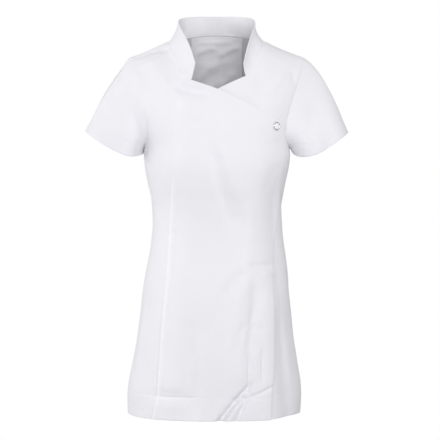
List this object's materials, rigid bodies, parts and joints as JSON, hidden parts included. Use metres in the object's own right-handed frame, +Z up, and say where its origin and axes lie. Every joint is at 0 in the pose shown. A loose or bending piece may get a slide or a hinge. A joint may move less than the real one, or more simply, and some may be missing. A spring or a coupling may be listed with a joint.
{
  "type": "beautician tunic",
  "caption": "Short-sleeved fitted tunic with a stand collar and an asymmetric wrap front closed by a press stud, filled out to its worn, hollow form.",
  "frame": {"origin": "midway between the two high points of the shoulders, where the neck's seam meets the shoulders, which is where the wearer's shoulders hold the tunic up", "axes": "+Z up, the front faces -Y, and +X is towards the wearer's left, the side where the wrap closes"},
  "size_m": [0.549, 0.2885, 0.8355],
  "materials": {
    "white_cloth": "matte woven twill with a slight sheen",
    "pearl_white": "pearly gloss",
    "stud_metal": "bright nickel plate"
  },
  "bodies": {
    "root": {"front_wrap": "white_cloth", "side_front": "white_cloth", "front_under": "white_cloth", "back": "white_cloth", "sleeve_right": "white_cloth", "sleeve_left": "white_cloth", "collar": "white_cloth", "neck_facing": "white_cloth", "stud_cap": "pearl_white", "stud_ring": "stud_metal"}
  },
  "joints": []
}
